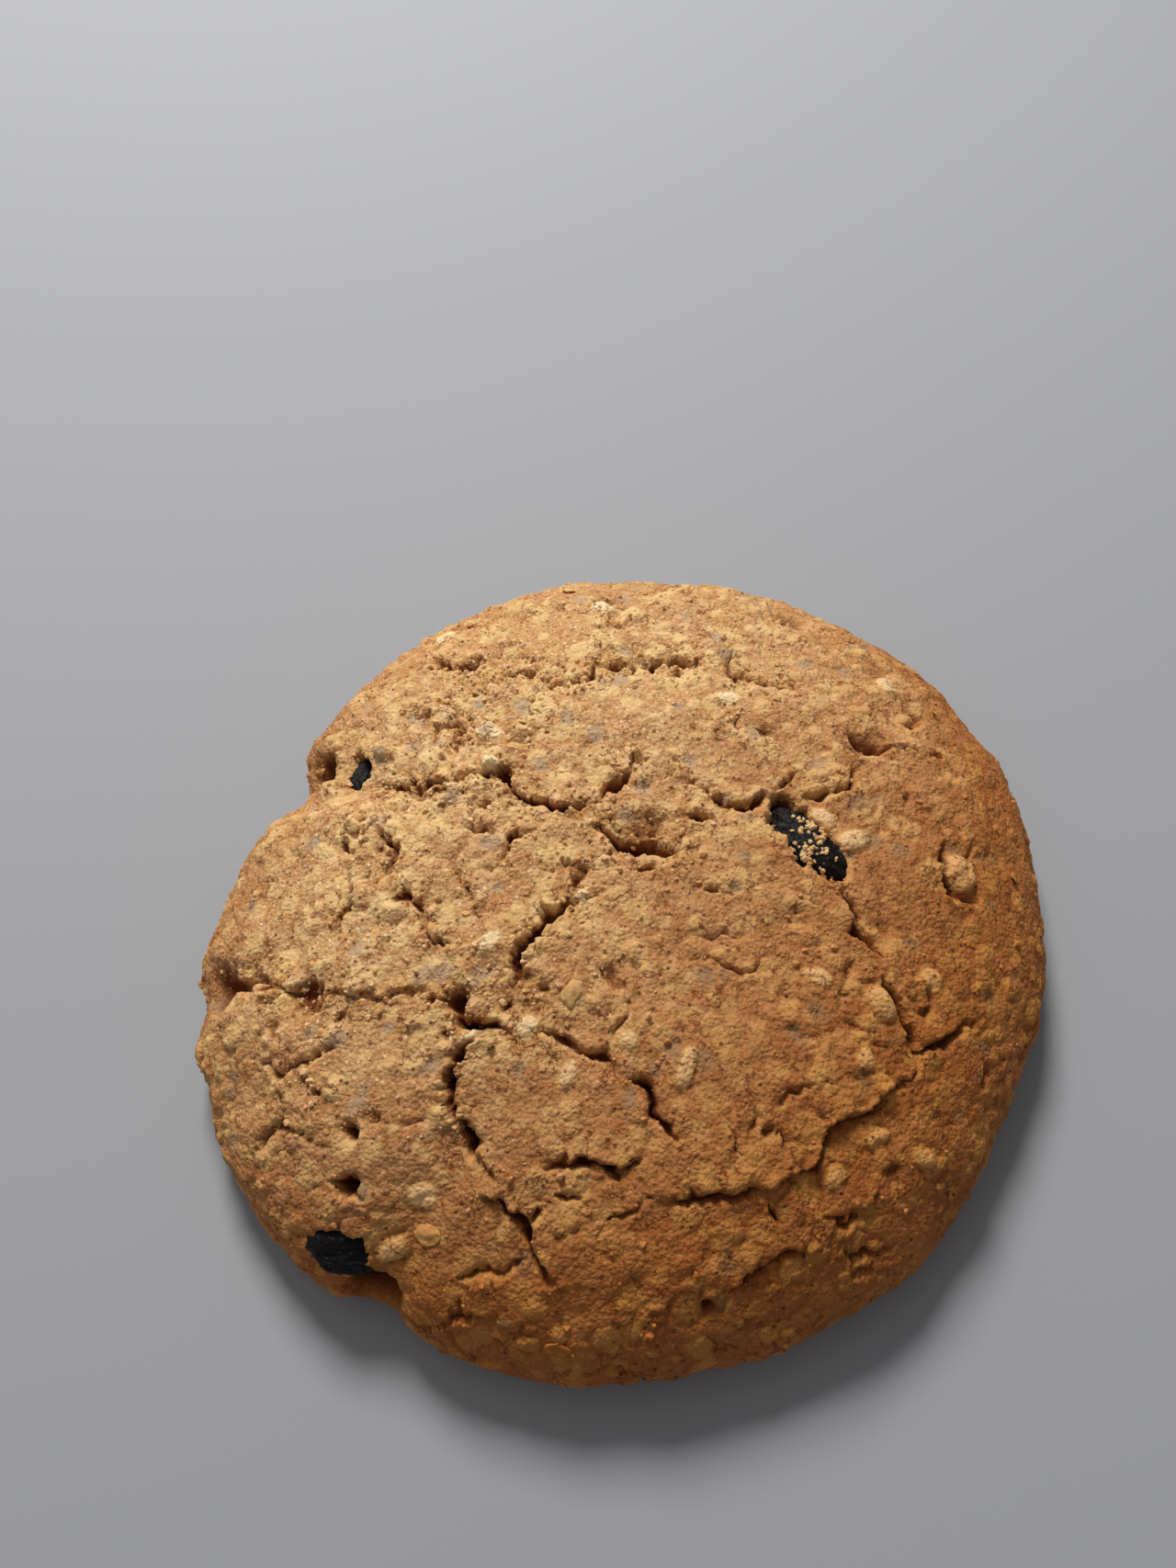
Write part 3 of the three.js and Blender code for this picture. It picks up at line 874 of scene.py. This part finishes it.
def raisin_material(colours):
    """Dried grape skin: nearly black, waxy, with a faint bloom on the folds."""
    material = new_material("raisin skin")
    tree = material.node_tree
    coords = add_node(tree, "ShaderNodeTexCoord").outputs["Object"]
    folds = add_node(tree, "ShaderNodeAttribute", attribute_name="fold").outputs["Fac"]
    fine = add_node(tree, "ShaderNodeTexNoise", {"Vector": coords, "Scale": 1 / (0.35 * MM), "Detail": 2.0})
    base = lay_over(tree, opaque(colours.raisin), opaque(colours.bloom), 1.0, folds)
    bump = add_node(
        tree, "ShaderNodeBump", {"Height": fine.outputs["Fac"], "Strength": 0.8, "Distance": 0.3 * MM}
    )
    rough_range = {"Value": fine.outputs["Fac"], "To Min": 0.3, "To Max": 0.75}
    roughness = add_node(tree, "ShaderNodeMapRange", rough_range)
    shader = add_node(
        tree,
        "ShaderNodeBsdfPrincipled",
        {
            "Base Color": base,
            "Roughness": roughness.outputs[0],
            "IOR": 1.45,
            "Specular IOR Level": 0.2,
            "Normal": bump.outputs["Normal"],
        },
    )
    return finish_material(material, shader)


def crumb_material(name, dark, light, tint, subsurface):
    """Loose baked crumb or oat: dry, matt, each piece with a tone of its own."""
    material = new_material(name)
    tree = material.node_tree
    coords = add_node(tree, "ShaderNodeTexCoord").outputs["Object"]
    tone = add_node(tree, "ShaderNodeAttribute", attribute_name="tone").outputs["Fac"]
    grain = add_node(tree, "ShaderNodeTexNoise", {"Vector": coords, "Scale": 1 / (0.3 * MM), "Detail": 2.0})
    both = add_node(tree, "ShaderNodeMath", {0: tone, 1: grain.outputs["Fac"]}, operation="ADD")
    limits = {"Value": both.outputs[0], "From Min": 0.4, "From Max": 1.5}
    share = add_node(tree, "ShaderNodeMapRange", limits)
    base = lay_over(tree, opaque(dark), opaque(light), 1.0, share.outputs[0])
    # Painted shade: crumbs on the near right side, turned from the light, and by the low rim are tinted
    # darker and browner.
    toast = add_node(tree, "ShaderNodeAttribute", attribute_name="toast").outputs["Fac"]
    base = lay_over(tree, base, opaque(tint), 1.0, toast, blend="MULTIPLY")
    bump = add_node(
        tree, "ShaderNodeBump", {"Height": grain.outputs["Fac"], "Strength": 0.5, "Distance": 0.12 * MM}
    )
    shader = add_node(
        tree,
        "ShaderNodeBsdfPrincipled",
        {
            "Base Color": base,
            "Roughness": 0.85,
            "Specular IOR Level": 0.3,
            "Subsurface Weight": subsurface,
            "Subsurface Radius": (1.0, 0.5, 0.2),
            "Subsurface Scale": 0.5 * MM,
            "Normal": bump.outputs["Normal"],
        },
    )
    return finish_material(material, shader)


def floor_material(colours):
    """Plain matt board: pale grey, with a dull sheen."""
    material = new_material("plain pale floor")
    tree = material.node_tree
    shader = add_node(
        tree,
        "ShaderNodeBsdfPrincipled",
        {"Base Color": opaque(colours.floor), "Roughness": 0.75, "Specular IOR Level": 0.25},
    )
    return finish_material(material, shader)


# ---- Geometry Nodes: pieces strewn over a surface ----


def strewn_tree(name, detail, stretch):
    """A tree that strews lumps over a mesh, more where its attribute says, and gives each a tone."""
    tree = bpy.data.node_groups.new(name, "GeometryNodeTree")
    face = tree.interface
    face.new_socket("Geometry", in_out="INPUT", socket_type="NodeSocketGeometry")
    for label in ("Per Square Metre", "Smallest", "Largest", "Sink", "Unevenness", "Tilt"):
        face.new_socket(label, in_out="INPUT", socket_type="NodeSocketFloat")
    face.new_socket("Where", in_out="INPUT", socket_type="NodeSocketString")
    face.new_socket("Material", in_out="INPUT", socket_type="NodeSocketMaterial")
    face.new_socket("Seed", in_out="INPUT", socket_type="NodeSocketInt")
    face.new_socket("Rounded", in_out="INPUT", socket_type="NodeSocketBool")
    face.new_socket("Geometry", in_out="OUTPUT", socket_type="NodeSocketGeometry")
    given = add_node(tree, "NodeGroupInput").outputs
    share = add_node(tree, "GeometryNodeInputNamedAttribute", {"Name": given["Where"]}, data_type="FLOAT")
    inputs = {0: given["Per Square Metre"], 1: share.outputs["Attribute"]}
    density = add_node(tree, "ShaderNodeMath", inputs, operation="MULTIPLY")
    strewn = add_node(
        tree,
        "GeometryNodeDistributePointsOnFaces",
        {"Mesh": given["Geometry"], "Density": density.outputs[0], "Seed": given["Seed"]},
    )
    tilt = add_node(tree, "ShaderNodeVectorMath", {0: (1, 1, 0), "Scale": given["Tilt"]}, operation="SCALE")
    low = add_node(tree, "ShaderNodeVectorMath", {0: (-1, -1, 0), "Scale": given["Tilt"]}, operation="SCALE")
    whole_turn = (0, 0, 2 * math.pi)
    high = add_node(tree, "ShaderNodeVectorMath", {0: tilt.outputs[0], 1: whole_turn}, operation="ADD")
    spin = add_node(
        tree,
        "FunctionNodeRandomValue",
        {0: low.outputs[0], 1: high.outputs[0], "Seed": given["Seed"]},
        data_type="FLOAT_VECTOR",
    )
    lump = add_node(tree, "GeometryNodeMeshIcoSphere", {"Radius": 0.5, "Subdivisions": detail})
    shaped = add_node(tree, "GeometryNodeTransform", {"Geometry": lump.outputs["Mesh"], "Scale": stretch})
    size = add_node(
        tree,
        "FunctionNodeRandomValue",
        {2: given["Smallest"], 3: given["Largest"], "Seed": 7},
        data_type="FLOAT",
    )
    placed = add_node(
        tree,
        "GeometryNodeInstanceOnPoints",
        {
            "Points": strewn.outputs["Points"],
            "Instance": shaped.outputs["Geometry"],
            "Rotation": strewn.outputs["Rotation"],
            "Scale": size.outputs[1],
        },
    )
    turned = add_node(
        tree,
        "GeometryNodeRotateInstances",
        {"Instances": placed.outputs["Instances"], "Rotation": spin.outputs[0]},
    )
    down = add_node(tree, "ShaderNodeMath", {0: given["Sink"], 1: -1.0}, operation="MULTIPLY")
    drop = add_node(tree, "ShaderNodeCombineXYZ", {"Z": down.outputs[0]})
    sunk = add_node(
        tree,
        "GeometryNodeTranslateInstances",
        {"Instances": turned.outputs["Instances"], "Translation": drop.outputs[0]},
    )
    tone = add_node(tree, "FunctionNodeRandomValue", {2: 0.0, 3: 1.0, "Seed": 13}, data_type="FLOAT")
    toned = add_node(
        tree,
        "GeometryNodeStoreNamedAttribute",
        {"Geometry": sunk.outputs["Instances"], "Name": "tone", "Value": tone.outputs[1]},
        data_type="FLOAT",
        domain="INSTANCE",
    )
    real = add_node(tree, "GeometryNodeRealizeInstances", {"Geometry": toned.outputs["Geometry"]})
    wobble = add_node(tree, "ShaderNodeTexNoise", {"Scale": 1 / (0.5 * MM), "Detail": 1.0})
    centred = add_node(
        tree, "ShaderNodeVectorMath", {0: wobble.outputs["Color"], 1: (0.5, 0.5, 0.5)}, operation="SUBTRACT"
    )
    inputs = {0: centred.outputs[0], "Scale": given["Unevenness"]}
    offset = add_node(tree, "ShaderNodeVectorMath", inputs, operation="SCALE")
    uneven = add_node(
        tree, "GeometryNodeSetPosition", {"Geometry": real.outputs["Geometry"], "Offset": offset.outputs[0]}
    )
    shaded = add_node(
        tree,
        "GeometryNodeSetShadeSmooth",
        {"Geometry": uneven.outputs["Geometry"], "Shade Smooth": given["Rounded"]},
    )
    inputs = {"Geometry": shaded.outputs["Geometry"], "Material": given["Material"]}
    painted = add_node(tree, "GeometryNodeSetMaterial", inputs)
    add_node(tree, "NodeGroupOutput", {"Geometry": painted.outputs["Geometry"]})
    return tree


def strew(name, surface, tree, settings):
    """The pieces that tree strews over surface, as a plain mesh object."""
    obj = bpy.data.objects.new(name, surface.data.copy())
    bpy.context.collection.objects.link(obj)
    modifier = obj.modifiers.new("strewn", "NODES")
    modifier.node_group = tree
    for item in tree.interface.items_tree:
        if item.in_out == "INPUT" and item.name in settings:
            modifier[item.identifier] = settings[item.name]
    bpy.context.view_layer.update()
    depsgraph = bpy.context.evaluated_depsgraph_get()
    result = bpy.data.meshes.new_from_object(obj.evaluated_get(depsgraph), depsgraph=depsgraph)
    obj.modifiers.clear()
    obj.data = result
    result.name = name
    if not result.polygons:
        raise RuntimeError(f"nothing was strewn for {name}")
    return obj


# ---- Settings ----


def colour_setting(name, description, hex_colour):
    return bpy.props.FloatVectorProperty(
        name=name, description=description, subtype="COLOR", size=3, min=0, max=1, default=linear(hex_colour)
    )


class CookieShape(bpy.types.PropertyGroup):
    """Sizes of the cookie."""

    crack_depth: bpy.props.FloatProperty(
        name="Crack Depth", description="Depth of every crack, as a share of its own", default=1.0,
        min=0, max=2, subtype="FACTOR",
    )
    oat_length: bpy.props.FloatProperty(
        name="Oat Length", description="Length of the largest oat flakes", default=2.6 * MM,
        min=0.5 * MM, max=6 * MM, unit="LENGTH", subtype="DISTANCE",
    )
    crumb_size: bpy.props.FloatProperty(
        name="Crumb Size", description="Size of the largest loose crumbs", default=0.85 * MM,
        min=0.1 * MM, max=3 * MM, unit="LENGTH", subtype="DISTANCE",
    )


class CookieColours(bpy.types.PropertyGroup):
    """Colours of the cookie and the floor."""

    skin: colour_setting("Skin", "Smooth baked skin of the plates", 0xCB9962)
    toasted: colour_setting("Toasted Skin", "Browner patches of the skin", 0xBA824C)
    crumb: colour_setting("Crumb", "Open crumb between the plates", 0xD19C5C)
    golden: colour_setting("Golden Crumb", "Yellower patches of the crumb", 0xDDAC66)
    # Pale grain tone, also painted on raised tips as painted light.
    pale: colour_setting("Pale Grain", "Dry tips of the grains", 0xEBC492)
    # Painted shade for the hollows and gaps between the grains.
    hollow: colour_setting("Hollows", "Hollows between the grains", 0x8A5527)
    # Painted shade tint for the near right side, turned from the light, and for the low rim.
    toast_tint: colour_setting("Browning", "Tint of the side that browned most", 0xD4A771)
    # Crack and Hole are painted shade inside the cracks, holes and raisin windows.
    deep: colour_setting("Crack", "Deep inside the cracks", 0x74380F)
    deepest: colour_setting("Hole", "Bottom of the deepest cracks and holes", 0x2A1408)
    # Sugar white, also used for the painted glints of the crystals.
    sugar: colour_setting("Sugar", "Dry sugar crystals in the skin", 0xFFE6BC)
    oat: colour_setting("Oat", "Oat pieces under the skin", 0xEECB8C)
    soaked: colour_setting("Soaked Spot", "Glassy spots of soaked oat", 0xB89C7C)
    bran: colour_setting("Bran", "Dark bran specks", 0x4A2A18)
    underside: colour_setting("Underside", "Flat browned base", 0x8F5A2C)
    raisin: colour_setting("Raisin", "Raisin skin", 0x080706)
    bloom: colour_setting("Raisin Bloom", "Dusty bloom on the raisin's folds", 0x14100E)
    floor: colour_setting("Floor", "Plain pale floor", 0x9FA0A3)


# ---- Operators ----


def bake_dough(shape, colours):
    places, faces = dome_mesh(DOME_RINGS, BASE_RINGS)
    outward = normals(places, faces)
    places = gather(places)
    relief = bake_relief(places, shape.crack_depth)
    # The base stays flat, and the relief fades in above it.
    share = smooth(places[:, 2], 0.1, 2.2)
    ripple = 0.35 * noise(places, 6, 61) + 0.2 * noise(places, 2.5, 63)
    moved = places + outward * (relief.height * share)[:, None]
    level = np.hypot(outward[:, 0], outward[:, 1])
    moved[:, :2] += outward[:, :2] * (ripple * level * smooth(np.hypot(*places[:, :2].T), 30, 36))[:, None]
    under = 1 - smooth(places[:, 2], 0.0, 1.2)
    moved[:, 2] += under * np.abs(0.25 * noise(places, 3, 71)) * (1 - level)
    low, high = moved.min(axis=0), moved.max(axis=0)
    moved = (moved - low) / (high - low) * (DOUGH_HIGH - DOUGH_LOW) + DOUGH_LOW
    attributes = {
        # deep carries the painted shade of the cracks, pits, crevices and windows
        "deep": relief.deep,
        "crumb": relief.crumb,
        "oat": relief.oat,
        "soaked": relief.soaked,
        "relief": relief.relief,
        "underside": under,
        "top": smooth(places[:, 2], 2, 5) * (1 - relief.deep) * (1 - relief.open),
        # How strongly each place takes the painted shade of the near right side and the darker low rim.
        "toast": browning_and_shade(places),
    }
    loose = 0.05 + 0.95 * np.clip(relief.crumb, 0, 1) ** 1.5
    kept = (1 - relief.open) * (1 - smooth(relief.deep, 0.4, 0.8)) * (1 - 0.6 * attributes["toast"])
    kept *= 1 - 0.8 * smooth(relief.oat, 1.0, 1.2)
    attributes["crumb_share"] = loose * kept * smooth(places[:, 2], 1.6, 4)
    return mesh_object("crust", moved, faces, baked_dough_material(colours), attributes)


class COOKIE_OT_dough(bpy.types.Operator):
    """Bake the dough: the domed crust with its cracks, pits and flat base"""

    bl_idname = "cookie.dough"
    bl_label = "Bake Dough"

    def execute(self, context):
        crust = bake_dough(context.scene.cookie_shape, context.scene.cookie_colours)
        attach(crust, "root")
        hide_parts("baked_dough")
        return {"FINISHED"}


class COOKIE_OT_raisins(bpy.types.Operator):
    """Put the wrinkled raisins in their pockets"""

    bl_idname = "cookie.raisins"
    bl_label = "Add Raisins"

    def execute(self, context):
        material = raisin_material(context.scene.cookie_colours)
        for number, (name, centre, half, turn) in enumerate(RAISINS):
            ball = bmesh.new()
            bmesh.ops.create_icosphere(ball, subdivisions=6, radius=1)
            unit = np.array([vert.co[:] for vert in ball.verts])
            faces = np.array([[vert.index for vert in face.verts] for face in ball.faces])
            ball.free()
            # Folds run lengthwise, so the noise is drawn out along the raisin.
            stray = np.stack([noise(unit, 0.6, 90 + k) for k in range(3)], axis=1)
            drawn = unit * (1.4, 2.1, 2.1) + 0.35 * stray
            ridge = 1 - np.abs(noise(drawn, 0.95, 80 + number)) * 1.9
            small = 1 - np.abs(noise(drawn, 0.42, 85 + number)) * 1.9
            fold = np.clip(0.7 * ridge + 0.3 * small, -1, 1)
            dent = 0.16 * noise(unit, 0.9, 95 + number)
            places = unit * (0.9 + 0.12 * fold + dent)[:, None] * half
            places = np.clip(places, -np.array(half), np.array(half))
            spin = np.array(Matrix.Rotation(math.radians(turn), 3, "Z"))
            places = places @ spin.T + centre
            attributes = {"fold": np.clip(0.5 + 0.5 * fold, 0, 1)}
            middle = np.exp(-(((unit[:, 0] - 0.1) / 0.42) ** 2)) * smooth(unit[:, 2], 0.2, 0.7)
            attributes["dusted"] = middle * smooth(noise(places, 1.5, 5), -0.4, 0.4)
            raisin = mesh_object(name + "_skin", places, faces, material, attributes)
            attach(raisin, "root")
            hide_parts(name)
        return {"FINISHED"}


class COOKIE_OT_oats(bpy.types.Operator):
    """Strew oat flakes over the dough, half sunk in it"""

    bl_idname = "cookie.oats"
    bl_label = "Strew Oats"

    def execute(self, context):
        shape = context.scene.cookie_shape
        colours = context.scene.cookie_colours
        tree = strewn_tree("oat flakes", 3, (1.0, 0.7, 0.2))
        settings = {
            "Per Square Metre": 1900.0,
            "Smallest": 0.35 * shape.oat_length,
            "Largest": shape.oat_length,
            "Sink": 0.2 * MM,
            "Unevenness": 0.6 * MM,
            "Tilt": 0.2,
            "Where": "top",
            "Material": crumb_material("rolled oat", colours.skin, colours.oat, colours.toast_tint, 0.3),
            "Seed": 3,
            "Rounded": True,
        }
        oats = strew("oat_flakes", bpy.data.objects["crust"], tree, settings)
        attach(oats, "root")
        return {"FINISHED"}


class COOKIE_OT_crumbs(bpy.types.Operator):
    """Strew loose crumbs over the dough, thickest by the cracks, and on the right raisin"""

    bl_idname = "cookie.crumbs"
    bl_label = "Strew Crumbs"

    def execute(self, context):
        shape = context.scene.cookie_shape
        colours = context.scene.cookie_colours
        coarse = strewn_tree("coarse crumbs", 1, (1.0, 0.8, 0.7))
        fine = strewn_tree("fine crumbs", 1, (1.0, 0.9, 0.8))
        material = crumb_material("baked crumb", colours.crumb, colours.pale, colours.toast_tint, 0.2)
        settings = {
            "Per Square Metre": 700000.0,
            "Smallest": 0.4 * shape.crumb_size,
            "Largest": shape.crumb_size,
            "Sink": 0.14 * MM,
            "Unevenness": 0.5 * MM,
            "Tilt": 3.1,
            "Where": "crumb_share",
            "Material": material,
            "Seed": 5,
            "Rounded": False,
        }
        crust = bpy.data.objects["crust"]
        made = [strew("coarse_crumbs", crust, coarse, settings)]
        settings.update({"Per Square Metre": 2600000.0, "Smallest": 0.16 * MM, "Largest": 0.42 * MM})
        settings.update({"Sink": 0.04 * MM, "Unevenness": 0.15 * MM, "Seed": 6})
        made.append(strew("fine_crumbs", crust, fine, settings))
        settings.update({"Per Square Metre": 9000000.0, "Smallest": 0.2 * MM, "Largest": 0.8 * MM})
        settings.update({"Sink": 0.14 * MM, "Unevenness": 0.5 * MM, "Where": "dusted", "Seed": 8})
        made.append(strew("raisin_crumbs", bpy.data.objects["raisin_right_skin"], coarse, settings))
        for crumbs in made:
            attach(crumbs, "root")
        return {"FINISHED"}


class COOKIE_OT_stage(bpy.types.Operator):
    """Set the pale floor, the soft window light and the camera"""

    bl_idname = "cookie.stage"
    bl_label = "Set Stage"

    def execute(self, context):
        scene = context.scene
        floor = mesh_object(
            "floor",
            [(-4000, -4000, 0), (4000, -4000, 0), (4000, 4000, 0), (-4000, 4000, 0)],
            [(0, 1, 2, 3)],
            floor_material(scene.cookie_colours),
        )

        def area_light(name, place, aim, size, power, colour):
            data = bpy.data.lights.new(name, "AREA")
            data.shape = "DISK"
            data.size = size
            data.energy = power
            data.color = colour
            light = bpy.data.objects.new(name, data)
            light.location = place
            light.rotation_euler = (Vector(aim) - Vector(place)).to_track_quat("-Z", "Y").to_euler()
            scene.collection.objects.link(light)

        area_light("window", (-0.1, 0.375, 0.42), (0, 0, 0), 0.19, 3.4, (1.0, 0.99, 0.97))
        area_light("room", (-0.4, 0.1, 0.6), (0, 0, 0), 0.8, 0.4, (0.98, 0.98, 1.0))

        world = bpy.data.worlds.new("soft room")
        world.use_nodes = True
        background = world.node_tree.nodes["Background"]
        background.inputs["Color"].default_value = (0.95, 0.97, 1.0, 1.0)
        background.inputs["Strength"].default_value = 0.2
        scene.world = world

        lens = bpy.data.cameras.new("camera")
        lens.lens = 27.04
        lens.sensor_width = 36
        lens.clip_start = 0.005
        camera = bpy.data.objects.new("camera", lens)
        camera.location = (-0.0042, -0.0456, 0.1071)
        camera.rotation_euler = (math.radians(30), 0, 0)
        scene.collection.objects.link(camera)
        scene.camera = camera
        scene.view_settings.view_transform = "Standard"
        return {"FINISHED"}


class COOKIE_PT_panel(bpy.types.Panel):
    """Lists the cookie's settings and steps"""

    bl_label = "Oatmeal Raisin Cookie"
    bl_idname = "COOKIE_PT_panel"
    bl_space_type = "VIEW_3D"
    bl_region_type = "UI"
    bl_category = "Cookie"

    def draw(self, context):
        layout = self.layout
        for group in (context.scene.cookie_shape, context.scene.cookie_colours):
            for key in group.bl_rna.properties.keys():
                if key not in {"rna_type", "name"}:
                    layout.prop(group, key)
        for operator in OPERATORS:
            layout.operator(operator.bl_idname)


OPERATORS = (COOKIE_OT_dough, COOKIE_OT_raisins, COOKIE_OT_oats, COOKIE_OT_crumbs, COOKIE_OT_stage)
CLASSES = (CookieShape, CookieColours, *OPERATORS, COOKIE_PT_panel)


def register():
    for cls in CLASSES:
        bpy.utils.register_class(cls)
    bpy.types.Scene.cookie_shape = bpy.props.PointerProperty(type=CookieShape)
    bpy.types.Scene.cookie_colours = bpy.props.PointerProperty(type=CookieColours)


def unregister():
    del bpy.types.Scene.cookie_colours
    del bpy.types.Scene.cookie_shape
    for cls in reversed(CLASSES):
        bpy.utils.unregister_class(cls)


def main():
    register()
    bpy.ops.cookie.dough()
    bpy.ops.cookie.raisins()
    bpy.ops.cookie.oats()
    bpy.ops.cookie.crumbs()
    bpy.ops.cookie.stage()


if __name__ == "__main__":
    main()
